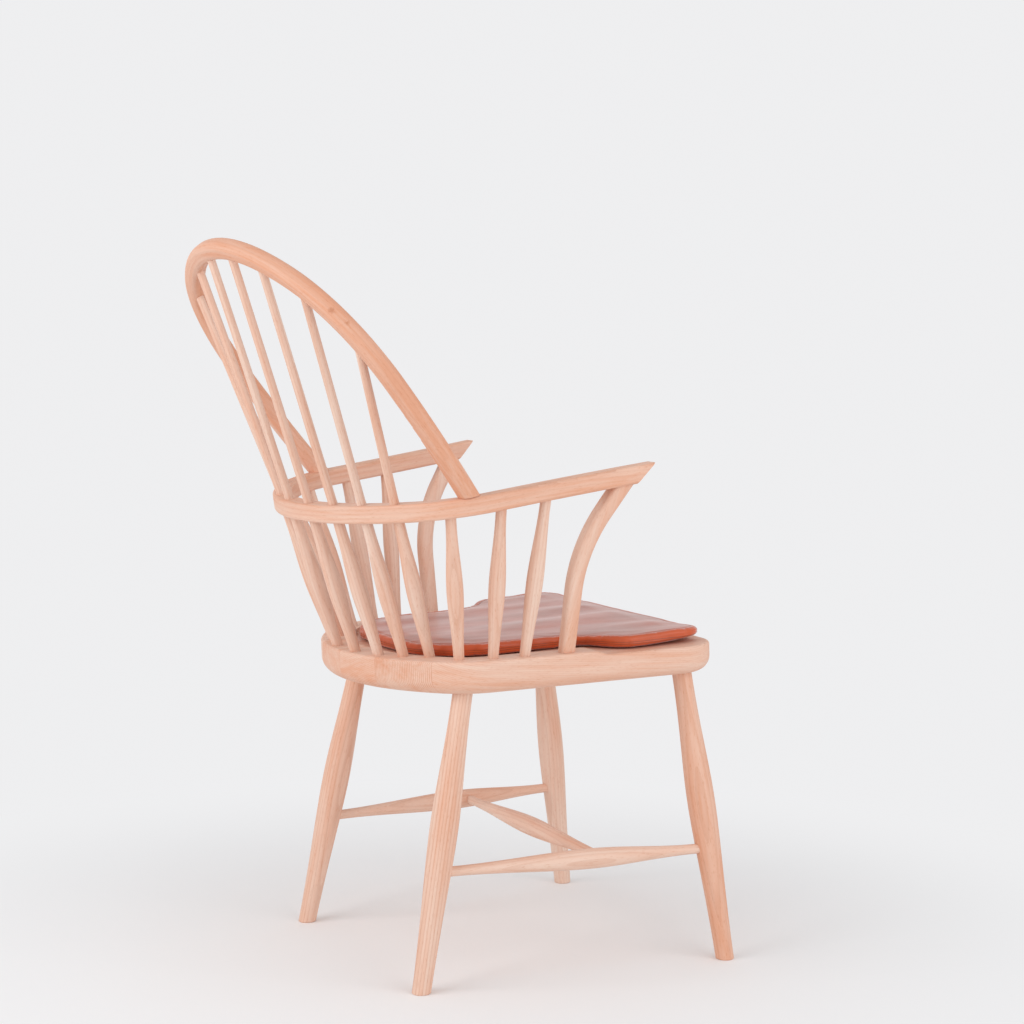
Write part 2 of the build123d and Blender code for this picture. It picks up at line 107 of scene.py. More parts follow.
# Seat: how the boards' growth lines lean, how their warmth differs, and how end grain and joints show
LEAN_TURN = 1.9
MOST_LEAN = 1.25
BOARD_STEP = 0.73
BOARD_TURN = 1.2
BOARD_SWING = 0.12
BOARD_TONE = 0.14
JOINT_RANGE = (0.001, 0.006)
END_RANGE = (0.40, 0.75)
SEAT_LINES = 0.20
END_LINES = 0.55
END_WARMTH = 0.10
JOINT_STRENGTH = 0.35
# Pad: length, width and seed of its noise, the ripples' share, and sizes of what is sewn, in metres
WAVES = (0.150, 0.050, 0.4)
RIPPLES = (0.050, 0.022, 7)
PUCKERS = (0.008, 0.008, 3)
RIPPLE_SHARE = 0.10
WAVE_RANGE = (0.008, 0.045)
PUCKER_DEPTH = 0.0004
STITCH_SINK = 0.0009
STITCH_WIDTH = 0.0025
SEAM_WIDTH = 0.0016
# Pad: how far its edge is squared up above and below the seam
UPPER_SQUARE = 1.15
LOWER_SQUARE = 0.20
# Pad: how far a surface faces up or sideways to count as top, side or rim, or down to rest on
TOP_RANGE = (0.5, 0.9)
SIDE_RANGE = (0.05, 0.45)
RIM_SIDE = 0.6
FACING_DOWN = -0.9
# Directions that the pad's rim is measured in
RIM_TURNS = 361
# Ears of the pad: places as shares of its length from the front, and widths in metres
NOTCH_PLACE = 0.43
CORNER_PLACE = 0.27
AHEAD_WIDTH = 0.040
BEHIND_WIDTH = 0.050
TUCK_WIDTH = 0.026
TIP_WIDTH = 0.030
CURL_WIDTH = 0.045
# Ears of the pad: shares of the way out from the middle to the tips, and of the pull on the tips
WAIST_START = 0.55
WAIST_END = 0.72
EAR_ROOT = 0.78
AHEAD_END = 0.95
TIP_OUT = 0.6
TIP_FORWARD = 0.8
# Ears of the pad: heights in seam heights over which their underside ends
UNDER_TOP = 2
UNDER_FOOT = 0.3
# Leather: how patterns are drawn out, repeats per metre, and how dark, shiny and rough it is
LEATHER_DRAW = (1.0, 0.5, 1.0)
WRINKLE_DRAW = (1.0, 0.45, 1.0)
TONE_SCALE = 14.0
WRINKLE_SCALE = 130.0
PEBBLE_SCALE = 620.0
CREASE_DARK = 0.20
WORN_DARK = 0.40
# Painted shade: how much darker the pad's top is painted than its sides
TOP_PAINTED_SHADE = 0.42
SEAM_DARK = 0.70
LEATHER_ROUGHNESS = 0.25
WRINKLE_ROUGHNESS = 0.12
LEATHER_BUMP = {"Strength": 0.22, "Distance": 0.0003}
LEATHER_SPECULAR = 0.40
LEATHER_SHEEN = 0.44
SHEEN_ROUGHNESS = 0.35
WORN_RANGE = (0.30, 0.75)
CREASE_RANGE = (0.55, 0.80)
WRINKLE_RELIEF = 1.6
LINE_RELIEF = -2.0
STITCH_RELIEF = 1.6
STITCH_STRENGTH = 0.8
# Leather: distances over which the top's painted shade, seam, stitched line and thread fade, in metres
TOP_SHADE_RANGE = (0.002, 0.012)
SEAM_RANGE = (0.0009, 0.0002)
LINE_RANGE = (0.0018, 0.0004)
THREAD_RANGE = (0.0006, 0.0003)
UPPER_RISE = 0.003
# Leather: shares of a stitch where its thread starts and is full
THREAD_START = 0.10
THREAD_FULL = 0.18
# The cloth's last frame, and the fewest points that a whole pad has
LAST_FRAME = 20
FEWEST_POINTS = 1000
# Lengths in metres below which points are merged or a step counts as none
MERGE_LENGTH = 1e-6
NO_LENGTH = 1e-9
# Slope below which a surface counts as level
NO_SLOPE = 1e-6
# Lamps: size, and place from the target: to the camera's right, towards the camera and up, in metres
KEY_SIZE = 2.2
KEY_PLACE = Vector((-2.3, 1.4, 0.9))
FILL_SIZE = 2.6
FILL_PLACE = Vector((1.9, 1.9, 0.5))
# Floor: distances from the middle over which it melts into the backdrop, in metres, and its look
FLOOR_RANGE = (0.25, 1.20)
FLOOR_SIDES = 96
FLOOR_ROUGHNESS = 0.85
FLOOR_SPECULAR = 0.1
# Operators in the order that they run
STEPS = ("turned", "arm_bow", "hoop", "seat", "pad", "studio")


def colour_property(name, description, default):
    """Colour that a user may change."""
    return bpy.props.FloatVectorProperty(
        name=name, description=description, subtype="COLOR", size=3, min=0, max=1, default=default
    )


def length_property(name, description, default):
    """Length in metres that a user may change."""
    return bpy.props.FloatProperty(name=name, description=description, unit="LENGTH", default=default)


def angle_property(name, description, degrees):
    """Angle that a user may change."""
    return bpy.props.FloatProperty(
        name=name, description=description, subtype="ANGLE", unit="ROTATION", default=radians(degrees)
    )


def tone_property(name, description, default):
    """Share of the warm colour that a user may change."""
    return bpy.props.FloatProperty(
        name=name, description=description, subtype="FACTOR", min=-1, max=1, default=default
    )


def power_property(name, description, default):
    """Power of a lamp that a user may change."""
    return bpy.props.FloatProperty(name=name, description=description, unit="POWER", min=0, default=default)


def point_property(name, description, default):
    """Point in the chair's frame that a user may change."""
    return bpy.props.FloatVectorProperty(
        name=name, description=description, subtype="XYZ", unit="LENGTH", size=3, default=default
    )


class WoodFinish(bpy.types.PropertyGroup):
    """Colours and figure of the pale, matt wood."""

    pale: colour_property("Pale wood", "Colour of most of the surface", (0.825, 0.615, 0.505))
    warm: colour_property("Warm wood", "Colour of growth lines and of warmer patches", (0.735, 0.362, 0.226))
    ring_spacing: length_property("Ring spacing", "Distance between growth lines", 0.0046)
    ring_shade: colour_property("Ring shade", "Shade of the growth lines over the wood", (0.74, 0.56, 0.46))
    ring_turn: angle_property("Ring turn", "Turn of the growth lines from one turned piece to the next", 45)
    turned_tone: tone_property("Turned tone", "Warmth of the legs, stretchers, spindles and stumps", 0.04)
    arm_tone: tone_property("Arm tone", "Warmth of the arm bow", 0.30)
    hoop_tone: tone_property("Hoop tone", "Warmth of the hoop", 0.52)


class ArmFinish(bpy.types.PropertyGroup):
    """Flat arch that the arm bow's grain follows."""

    spring: point_property("Springing", "Middle of the arch's springing line", (0, 0.043, 0.677))
    tilt: angle_property("Tilt", "Turn of the arch's plane about X, from level", -8.45)
    half_width: length_property("Half width", "Half the width of the arch", 0.272)
    rise: length_property("Rise", "Height of the arch over its springing line", 0.174)


class HoopFinish(bpy.types.PropertyGroup):
    """Flat arch that the hoop's grain follows, and the two pin knots in it."""

    spring: point_property("Springing", "Middle of the arch's springing line", (0, 0.1958, 0.8348))
    tilt: angle_property("Tilt", "Turn of the arch's plane about X, from level", 52.5)
    half_width: length_property("Half width", "Half the width of the arch", 0.2877)
    rise: length_property("Rise", "Height of the arch over its springing line", 0.2269)
    knot: colour_property("Knot", "Colour of the pin knots", (0.52, 0.20, 0.10))
    upper_knot: point_property("Upper knot", "Middle of the upper pin knot", (-0.2625, 0.2737, 0.9307))
    lower_knot: point_property("Lower knot", "Middle of the lower pin knot", (-0.2762, 0.2573, 0.9148))
    upper_size: length_property("Upper size", "Radius of the upper pin knot", 0.0062)
    lower_size: length_property("Lower size", "Radius of the lower pin knot", 0.0048)


class SeatFinish(bpy.types.PropertyGroup):
    """Boards that the seat is glued up from."""

    ring_spacing: length_property("Ring spacing", "Distance between growth lines in the boards", 0.0026)
    board_width: length_property("Board width", "Width of one board", 0.087)
    board_edge: length_property("Board edge", "Place along X of one of the glue lines", -0.098)


class PadFinish(bpy.types.PropertyGroup):
    """Leather, stuffing and seam of the loose seat pad."""

    leather: colour_property("Leather", "Main colour of the cognac leather", (0.61, 0.102, 0.028))
    # The crease colour also gives the painted shade on the pad's top
    crease: colour_property("Crease", "Colour of the creases and the seam", (0.28, 0.062, 0.026))
    mesh_size: length_property("Mesh size", "Size of the mesh that the stuffing blows up", 0.0045)
    pressure: bpy.props.FloatProperty(
        name="Stuffing pressure", description="Pressure that fills the leather out", min=0, default=4.0
    )
    swell: length_property("Most swell", "Furthest that the stuffing pushes the leather", 0.0024)
    let_out: length_property("Let out", "How far the edge is let out again after stuffing", 0.0034)
    edge_reach: length_property("Edge reach", "How far in from the edge its corners are squared up", 0.006)
    seam_height: length_property("Seam height", "Height of the seam above the seat", 0.0088)
    seam_depth: length_property("Seam depth", "How far the seam draws the side in", 0.0012)
    welt: length_property("Welt", "Width of the welt that is sewn into the seam", 0.0026)
    wave_height: length_property("Wave height", "Height of the soft waves over the top", 0.0026)
    curl: length_property("Curl", "How far the two front corners curl up", 0.0034)
    corner_pull: length_property("Corner pull", "How far the two front corners are drawn out", 0.0045)
    notch_shift: length_property("Notch shift", "How far the notches behind the ears close up", 0.010)
    notch_tuck: length_property("Notch tuck", "How far the underside is tucked in at the notches", 0.011)
    stitch_inset: length_property("Stitch inset", "Distance of the stitched line from the edge", 0.0065)
    stitch_pitch: length_property("Stitch pitch", "Length of one stitch and its gap", 0.0040)


class StudioSetup(bpy.types.PropertyGroup):
    """Floor, light and the camera at the photograph's angle."""

    backdrop: colour_property("Backdrop", "Colour of the space behind the chair", (0.86, 0.86, 0.87))
    floor: colour_property("Floor", "Colour of the floor under the chair", (0.90, 0.90, 0.905))
    floor_radius: length_property("Floor radius", "Radius of the round floor", 9.0)
    azimuth: angle_property("Azimuth", "Turn of the camera round the chair from its front", 243.35)
    elevation: angle_property("Elevation", "How far the camera looks down", 5.07)
    distance: length_property("Distance", "Distance from the camera to its target", 3.433)
    target: point_property("Target", "Point that the camera looks at", (0, -0.1175, 0.6345))
    lens: bpy.props.FloatProperty(name="Lens", description="Focal length in millimetres", default=82.05)
    sky: bpy.props.FloatProperty(name="Sky", description="Light from all round", min=0, default=0.75)
    key: power_property("Key light", "Power of the lamp to the left of the camera", 35)
    fill: power_property("Fill light", "Power of the lamp to the right of the camera", 28)


# Helpers that build materials from nodes


def add_node(tree, kind, **settings):
    """Add a node; each setting is one of its own properties or, with _ for a space, an input socket."""
    node = tree.nodes.new(kind)
    for key, value in settings.items():
        if key[0].isupper():
            feed(tree, value, node.inputs[key.replace("_", " ")])
        else:
            setattr(node, key, value)
    return node


def feed(tree, value, socket):
    """Link an output to a socket, or set the socket to a plain value."""
    if isinstance(value, bpy.types.NodeSocket):
        tree.links.new(value, socket)
    else:
        socket.default_value = value


def figure_out(tree, operation, *values, clamp=False):
    """Math node on outputs or plain numbers."""
    node = add_node(tree, "ShaderNodeMath", operation=operation, use_clamp=clamp)
    for value, socket in zip(values, node.inputs):
        feed(tree, value, socket)
    return node.outputs["Value"]


def fade(tree, value, low, high):
    """Smooth step of a value, from 0 at low to 1 at high."""
    node = add_node(tree, "ShaderNodeMapRange", Value=value, From_Min=low, From_Max=high)
    node.interpolation_type = "SMOOTHSTEP"
    return node.outputs["Result"]


def scaled(tree, vector, factors):
    """Vector with each axis scaled, so that a pattern is drawn out along the grain."""
    node = add_node(tree, "ShaderNodeVectorMath", operation="MULTIPLY")
    feed(tree, vector, node.inputs[0])
    feed(tree, factors, node.inputs[1])
    return node.outputs["Vector"]


def noise_on(tree, vector, scale, detail):
    """Noise pattern on a vector."""
    node = add_node(
        tree, "ShaderNodeTexNoise", Vector=vector, Scale=scale, Detail=detail, Roughness=NOISE_ROUGHNESS
    )
    return node.outputs["Fac"]


def mixed(tree, factor, first, second, blend="MIX"):
    """Two colours mixed by a factor."""
    node = add_node(tree, "ShaderNodeMix", data_type="RGBA", blend_type=blend)
    feed(tree, factor, node.inputs["Factor"])
    ends = [socket for socket in node.inputs if socket.type == "RGBA"]
    feed(tree, first, ends[0])
    feed(tree, second, ends[1])
    return next(socket for socket in node.outputs if socket.type == "RGBA")


def opaque(colour):
    """Colour property with a full alpha."""
    return (*colour, 1.0)


def new_group(name, inputs, outputs):
    """Start a node group from its named sockets; gives its tree, what comes in and the sockets out."""
    tree = bpy.data.node_groups.new(name, "ShaderNodeTree")
    for title, kind in inputs.items():
        tree.interface.new_socket(title, in_out="INPUT", socket_type=f"NodeSocket{kind}")
    for title, kind in outputs.items():
        tree.interface.new_socket(title, in_out="OUTPUT", socket_type=f"NodeSocket{kind}")
    return tree, tree.nodes.new("NodeGroupInput").outputs, tree.nodes.new("NodeGroupOutput").inputs


def wood_figure():
    """Node group for wood: x of its vector runs along the grain and y across the growth lines."""
    tree, given, made = new_group(
        "Wood figure",
        {
            "Vector": "Vector", "Pale": "Color", "Warm": "Color", "Shade": "Color",
            "Ring Spacing": "Float", "Tone": "Float", "Lines": "Float",
        },
        {"Color": "Color", "Roughness": "Float", "Height": "Float"},
    )
    drawn = scaled(tree, given["Vector"], LINE_DRAW)
    rings = add_node(
        tree, "ShaderNodeTexWave", wave_type="BANDS", bands_direction="Y", wave_profile="SAW", Vector=drawn,
        Scale=figure_out(tree, "DIVIDE", WAVE_UNIT, given["Ring Spacing"]), **RING_WOBBLE,
    )
    late = fade(tree, rings.outputs["Fac"], *LATE_RANGE)
    patches = noise_on(tree, scaled(tree, given["Vector"], FLECK_DRAW), PATCH_SCALE, 3.0)
    streaks = noise_on(tree, drawn, STREAK_SCALE, 3.0)
    pores = noise_on(tree, scaled(tree, given["Vector"], FLECK_DRAW), PORE_SCALE, 1.0)
    fleck = fade(tree, pores, *FLECK_RANGE)

    patched = fade(tree, patches, *PATCH_RANGE)
    warmth = figure_out(tree, "MULTIPLY_ADD", patched, PATCH_WARMTH, given["Tone"])
    streaked = fade(tree, streaks, *STREAK_RANGE)
    warmth = figure_out(tree, "MULTIPLY_ADD", streaked, STREAK_WARMTH, warmth, clamp=True)
    colour = mixed(tree, warmth, given["Pale"], given["Warm"])
    drawn_lines = figure_out(tree, "MULTIPLY", late, given["Lines"], clamp=True)
    colour = mixed(tree, drawn_lines, colour, given["Shade"], "MULTIPLY")
    flecked = figure_out(tree, "MULTIPLY", fleck, FLECK_STRENGTH)
    colour = mixed(tree, flecked, colour, FLECK_SHADE, "MULTIPLY")
    feed(tree, colour, made["Color"])
    rough = figure_out(tree, "MULTIPLY_ADD", fleck, FLECK_ROUGHNESS, WOOD_ROUGHNESS)
    feed(tree, figure_out(tree, "MULTIPLY_ADD", patches, PATCH_ROUGHNESS, rough), made["Roughness"])
    height = figure_out(tree, "MULTIPLY_ADD", late, LATE_HEIGHT, WOOD_HEIGHT)
    feed(tree, figure_out(tree, "MULTIPLY_ADD", fleck, FLECK_HEIGHT, height), made["Height"])


def bent_grain():
    """Node group that unrolls an arch in its plane; growth lines slant, so they run along every face."""
    tree, given, made = new_group(
        "Bent grain",
        {"Vector": "Vector", "Half Width": "Float", "Rise": "Float"},
        {"Vector": "Vector"},
    )
    place = add_node(tree, "ShaderNodeSeparateXYZ", Vector=given["Vector"]).outputs
    side = figure_out(tree, "DIVIDE", place["X"], given["Half Width"])
    over = figure_out(tree, "DIVIDE", figure_out(tree, "MAXIMUM", place["Y"], 0.0), given["Rise"])
    under = figure_out(tree, "MINIMUM", place["Y"], 0.0)
    mean = figure_out(tree, "MULTIPLY", figure_out(tree, "ADD", given["Half Width"], given["Rise"]), 0.5)
    square = figure_out(tree, "MULTIPLY_ADD", over, over, figure_out(tree, "MULTIPLY", side, side))
    across = figure_out(tree, "MULTIPLY", figure_out(tree, "SQRT", square), mean)
    turned = figure_out(tree, "MULTIPLY", figure_out(tree, "ARCTAN2", side, over), mean)
    leg = figure_out(tree, "MULTIPLY", figure_out(tree, "SIGN", place["X"]), under)
    along = figure_out(tree, "SUBTRACT", turned, leg)
    slant = figure_out(tree, "ADD", across, place["Z"])
    other = figure_out(tree, "SUBTRACT", place["Z"], across)
    joined = add_node(tree, "ShaderNodeCombineXYZ", X=along, Y=slant, Z=other)
    feed(tree, joined.outputs["Vector"], made["Vector"])


def glued_boards():
    """Node group for the seat: grain runs front to back in boards whose growth lines lean differently."""
    tree, given, made = new_group(
        "Glued boards",
        {"Vector": "Vector", "Board Width": "Float", "Board Edge": "Float"},
        {"Vector": "Vector", "Tone": "Float", "Upright": "Float", "Joint": "Float"},
    )
    place = add_node(tree, "ShaderNodeSeparateXYZ", Vector=given["Vector"]).outputs
    over = figure_out(tree, "SUBTRACT", place["X"], given["Board Edge"])
    share = figure_out(tree, "DIVIDE", over, given["Board Width"])
    board = figure_out(tree, "FLOOR", share)
    swing = figure_out(tree, "SINE", figure_out(tree, "MULTIPLY_ADD", board, LEAN_TURN, LEAN_TURN))
    lean = figure_out(tree, "MULTIPLY", swing, MOST_LEAN)
    upright = figure_out(tree, "COSINE", lean)
    sideways = figure_out(tree, "MULTIPLY", place["X"], upright)
    across = figure_out(tree, "MULTIPLY_ADD", place["Z"], figure_out(tree, "SINE", lean), sideways)
    along = figure_out(tree, "MULTIPLY_ADD", board, BOARD_STEP, place["Y"])
    depth = figure_out(tree, "ADD", place["Z"], board)
    joined = add_node(tree, "ShaderNodeCombineXYZ", X=along, Y=across, Z=depth)
    feed(tree, joined.outputs["Vector"], made["Vector"])
    feed(tree, figure_out(tree, "MULTIPLY", upright, upright), made["Upright"])
    tone = figure_out(tree, "COSINE", figure_out(tree, "MULTIPLY", board, BOARD_TURN))
    feed(tree, figure_out(tree, "MULTIPLY_ADD", tone, BOARD_SWING, BOARD_TONE), made["Tone"])
    near = figure_out(tree, "PINGPONG", share, 0.5)
    feed(tree, figure_out(tree, "SUBTRACT", 1.0, fade(tree, near, *JOINT_RANGE)), made["Joint"])


def group_node(tree, name, **values):
    """Place a node group in a material and set or link its inputs."""
    return add_node(tree, "ShaderNodeGroup", node_tree=bpy.data.node_groups[name], **values)


def seen_from(tree, place, turn):
    """Object coordinates measured from a place and turn of their own."""
    given = tree.nodes.new("ShaderNodeTexCoord").outputs["Object"]
    return add_node(
        tree, "ShaderNodeMapping", vector_type="TEXTURE", Vector=given, Location=place, Rotation=turn
    ).outputs["Vector"]


def new_wood(name):
    """Start a wood material; gives the material, its tree and its shader."""
    material = bpy.data.materials.new(name)
    material.use_nodes = True
    shader = material.node_tree.nodes["Principled BSDF"]
    shader.inputs["Specular IOR Level"].default_value = WOOD_SPECULAR
    return material, material.node_tree, shader


def finish_wood(tree, shader, vector, spacing, tone, lines):
    """Connect the wood figure to a shader, and give the figure's node."""
    wood = bpy.context.scene.windsor_wood
    figure = group_node(
        tree, "Wood figure", Vector=vector, Pale=opaque(wood.pale), Warm=opaque(wood.warm),
        Shade=opaque(wood.ring_shade), Ring_Spacing=spacing, Tone=tone, Lines=lines,
    )
    feed(tree, figure.outputs["Color"], shader.inputs["Base Color"])
    feed(tree, figure.outputs["Roughness"], shader.inputs["Roughness"])
    bump = add_node(tree, "ShaderNodeBump", Height=figure.outputs["Height"], **WOOD_BUMP)
    feed(tree, bump.outputs["Normal"], shader.inputs["Normal"])
    return figure


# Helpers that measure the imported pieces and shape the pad


def points_of(mesh):
    """Vertices of a mesh as an array."""
    flat = np.empty(len(mesh.vertices) * 3)
    mesh.vertices.foreach_get("co", flat)
    return flat.reshape(-1, 3)


def move_points(mesh, points):
    """Set the vertices of a mesh from an array."""
    mesh.vertices.foreach_set("co", points.ravel())
    mesh.update()


def normals_of(mesh):
    """Vertex normals of a mesh as an array."""
    flat = np.empty(len(mesh.vertices) * 3)
    mesh.vertices.foreach_get("normal", flat)
    return flat.reshape(-1, 3)


def long_axis(node):
    """Middle of a straight piece and the direction that it runs in."""
    points = points_of(node.data)
    middle = points.mean(0)
    return Vector(middle), Vector(np.linalg.svd(points - middle, full_matrices=False)[2][0])


def grain_turn(along, spin):
    """Turn that brings x to the grain and y across the growth lines, spun round the grain."""
    across = along.cross(OFF_AXIS).normalized()
    turn = Matrix((along, across, along.cross(across))).transposed()
    return (turn @ Matrix.Rotation(spin, 3, "X")).to_euler()


def resting_plane(node):
    """Lowest corner and upward normal of the flat face that a piece rests on."""
    below = [face for face in node.data.polygons if face.normal.z < FACING_DOWN]
    lowest = max(below, key=lambda face: face.area)
    return np.array(node.data.vertices[lowest.vertices[0]].co), -np.array(lowest.normal)


def smooth_step(values, low, high):
    """Smooth step of an array, from 0 at low to 1 at high."""
    share = np.clip((values - low) / (high - low), 0, 1)
    return share * share * (3 - 2 * share)


def bell(values, middle, width):
    """Smooth bump of an array, 1 at the middle."""
    return np.exp(-(((values - middle) / width) ** 2))


def apply_modifier(piece, kind, **settings):
    """Add a modifier to the active piece, set it and apply it."""
    bpy.ops.object.modifier_add(type=kind)
    modifier = piece.modifiers[-1]
    for key, value in settings.items():
        setattr(modifier, key, value)
    bpy.ops.object.modifier_apply(modifier=modifier.name)


class WINDSOR_OT_turned(bpy.types.Operator):
    """Give each leg, stretcher, spindle and stump wood whose grain runs along it"""

    bl_idname = "windsor.turned"
    bl_label = "Finish turned pieces"

    def execute(self, context):
        wood = context.scene.windsor_wood
        names = sorted(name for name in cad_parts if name.startswith(tuple(TURNED_KINDS)))
        if not names:
            raise RuntimeError("the packed model has no turned pieces")
        for number, name in enumerate(names):
            middle, along = long_axis(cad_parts[name])
            material, tree, shader = new_wood(f"Wood {name}")
            start = middle + along * (LOG_STEP * number)
            vector = seen_from(tree, start, grain_turn(along, wood.ring_turn * number))
            warmer, lines = next(TURNED_KINDS[kind] for kind in TURNED_KINDS if name.startswith(kind))
            tone = wood.turned_tone + warmer + WARMTH_SWING * sin(WARMTH_TURN * number)
            finish_wood(tree, shader, vector, wood.ring_spacing, tone, lines)
            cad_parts[name].material_slots[0].material = material
        return {"FINISHED"}


def bent_wood(name, bow, tone):
    """Give a bow wood whose grain runs round its bend; gives the material's tree, shader and figure."""
    material, tree, shader = new_wood(f"Wood {name}")
    vector = seen_from(tree, bow.spring, (bow.tilt, 0, 0))
    unrolled = group_node(tree, "Bent grain", Vector=vector, Half_Width=bow.half_width, Rise=bow.rise)
    spacing = bpy.context.scene.windsor_wood.ring_spacing * BENT_SPREAD
    figure = finish_wood(tree, shader, unrolled.outputs["Vector"], spacing, tone, BENT_LINES)
    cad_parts[name].material_slots[0].material = material
    return tree, shader, figure


class WINDSOR_OT_arm_bow(bpy.types.Operator):
    """Give the arm bow wood whose grain runs round its bend"""

    bl_idname = "windsor.arm_bow"
    bl_label = "Finish arm bow"

    def execute(self, context):
        bent_wood("arm_bow", context.scene.windsor_arm, context.scene.windsor_wood.arm_tone)
        return {"FINISHED"}


class WINDSOR_OT_hoop(bpy.types.Operator):
    """Give the hoop wood whose grain runs round its bend, with two pin knots"""

    bl_idname = "windsor.hoop"
    bl_label = "Finish hoop"

    def execute(self, context):
        hoop = context.scene.windsor_hoop
        tree, shader, figure = bent_wood("hoop", hoop, context.scene.windsor_wood.hoop_tone)
        place = tree.nodes.new("ShaderNodeTexCoord").outputs["Object"]
        wobble = figure_out(tree, "MULTIPLY", noise_on(tree, place, KNOT_SCALE, 2.0), KNOT_WOBBLE)
        colour = figure.outputs["Color"]
        for centre, radius in ((hoop.upper_knot, hoop.upper_size), (hoop.lower_knot, hoop.lower_size)):
            reach = add_node(tree, "ShaderNodeVectorMath", operation="DISTANCE")
            feed(tree, place, reach.inputs[0])
            feed(tree, centre, reach.inputs[1])
            ragged = figure_out(tree, "ADD", reach.outputs["Value"], wobble)
            spot = fade(tree, ragged, radius + KNOT_OUTER, radius - KNOT_INNER)
            stained = figure_out(tree, "MULTIPLY", spot, KNOT_STRENGTH)
            colour = mixed(tree, stained, colour, opaque(hoop.knot))
        feed(tree, colour, shader.inputs["Base Color"])
        return {"FINISHED"}


class WINDSOR_OT_seat(bpy.types.Operator):
    """Give the seat glued boards whose grain runs front to back and shows its ends at the back"""

    bl_idname = "windsor.seat"
    bl_label = "Finish seat"

    def execute(self, context):
        seat = context.scene.windsor_seat
        material, tree, shader = new_wood("Wood seat")
        place = tree.nodes.new("ShaderNodeTexCoord").outputs["Object"]
        boards = group_node(
            tree, "Glued boards", Vector=place, Board_Width=seat.board_width, Board_Edge=seat.board_edge
        ).outputs
        normal = tree.nodes.new("ShaderNodeNewGeometry").outputs["Normal"]
        facing = add_node(tree, "ShaderNodeSeparateXYZ", Vector=normal).outputs
        end_grain = fade(tree, figure_out(tree, "ABSOLUTE", facing["Y"]), *END_RANGE)
        ends = figure_out(tree, "MULTIPLY", end_grain, boards["Upright"])
        lines = figure_out(tree, "MULTIPLY_ADD", ends, END_LINES, SEAT_LINES)
        tone = figure_out(tree, "MULTIPLY_ADD", end_grain, END_WARMTH, boards["Tone"])
        figure = finish_wood(tree, shader, boards["Vector"], seat.ring_spacing, tone, lines)
        line = figure_out(tree, "MULTIPLY", boards["Joint"], JOINT_STRENGTH)
        shade = opaque(context.scene.windsor_wood.warm)
        colour = mixed(tree, line, figure.outputs["Color"], shade, "MULTIPLY")
        feed(tree, colour, shader.inputs["Base Color"])
        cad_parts["seat"].material_slots[0].material = material
        return {"FINISHED"}


def blank_pad():
    """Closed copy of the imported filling, a little smaller than the leather, as the active object."""
    bpy.ops.object.select_all(action="DESELECT")
    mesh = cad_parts["pad_filling"].data.copy()
    mesh.materials.clear()
    pad = bpy.data.objects.new("seat_pad", mesh)
    bpy.context.collection.objects.link(pad)
    bpy.context.view_layer.objects.active = pad
    pad.select_set(True)
    bpy.ops.mesh.customdata_custom_splitnormals_clear()
    bpy.ops.object.mode_set(mode="EDIT")
    bpy.ops.mesh.select_all(action="SELECT")
    bpy.ops.mesh.remove_doubles(threshold=MERGE_LENGTH)
    bpy.ops.mesh.normals_make_consistent(inside=False)
    bpy.ops.object.mode_set(mode="OBJECT")
    return pad


def stuff_pad(pad, settings):
    """Blow the pad up as cloth, then hold every point within the most swell."""
    scene = bpy.context.scene
    rest = points_of(pad.data)
    bpy.ops.object.modifier_add(type="CLOTH")
    cloth = pad.modifiers[-1]
    cloth.settings.use_pressure = True
    cloth.settings.uniform_pressure_force = settings.pressure
    cloth.settings.effector_weights.gravity = 0
    for moment in range(1, LAST_FRAME + 1):
        scene.frame_set(moment)
    bpy.ops.object.modifier_apply(modifier=cloth.name)
    scene.frame_set(1)
    push = points_of(pad.data) - rest
    reach = np.linalg.norm(push, axis=1, keepdims=True)
    move_points(pad.data, rest + push * np.minimum(1, settings.swell / np.maximum(reach, NO_LENGTH)))


def soft_noise(points, length, width, seed):
    """Smooth noise over the pad, drawn out along its length."""
    return np.array([noise.noise((point[0] / width, point[1] / length, seed)) for point in points])


def keep_values(mesh, name, values):
    """Keep one value for each vertex, for the leather to read."""
    mesh.attributes.new(name, "FLOAT", "POINT").data.foreach_set("value", values)


def follow_edge(points, rim):
    """Each point's distance from the pad's edge, and the length of edge from the back round to it."""
    tree = kdtree.KDTree(len(rim))
    for number, point in enumerate(rim):
        tree.insert((point[0], point[1], 0), number)
    tree.balance()
    inset = np.array([tree.find((point[0], point[1], 0))[2] for point in points])

    middle = rim.mean(0)
    turns = np.linspace(-pi, pi, RIM_TURNS)
    rim_turn = np.arctan2(rim[:, 0] - middle[0], middle[1] - rim[:, 1])
    order = np.argsort(rim_turn)
    radius = np.interp(turns, rim_turn[order], np.linalg.norm((rim - middle)[order, :2], axis=1))
    edge = np.stack([np.sin(turns), np.cos(turns)], 1) * radius[:, None]
    steps = np.linalg.norm(np.diff(edge, axis=0), axis=1)
    along = np.concatenate([[0], np.cumsum(steps)])
    return inset, np.interp(np.arctan2(points[:, 0] - middle[0], middle[1] - points[:, 1]), turns, along)


